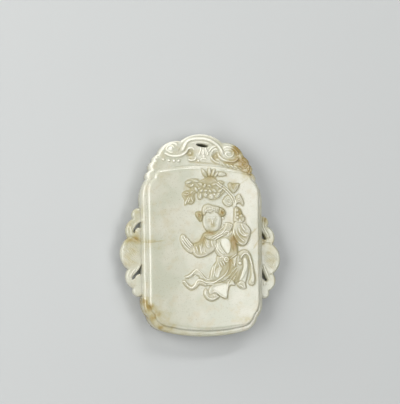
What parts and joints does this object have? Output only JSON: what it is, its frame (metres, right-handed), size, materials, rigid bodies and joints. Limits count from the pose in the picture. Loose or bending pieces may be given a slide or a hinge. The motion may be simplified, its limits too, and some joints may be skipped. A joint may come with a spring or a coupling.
{
  "type": "jade plaque",
  "caption": "Flat carved stone pendant plaque: raised panel with a child in low relief, mask crest pierced for a cord, and openwork ears.",
  "frame": {"origin": "on the resting face of the back panel, under the middle of the plaque's outline box", "axes": "+Z out of the carved face, +Y towards the pierced crest, +X to the right as seen from the front"},
  "size_m": [0.0509, 0.0626, 0.0095],
  "materials": {
    "jade": "polished"
  },
  "bodies": {
    "root": {"plaque": "jade"}
  },
  "joints": []
}
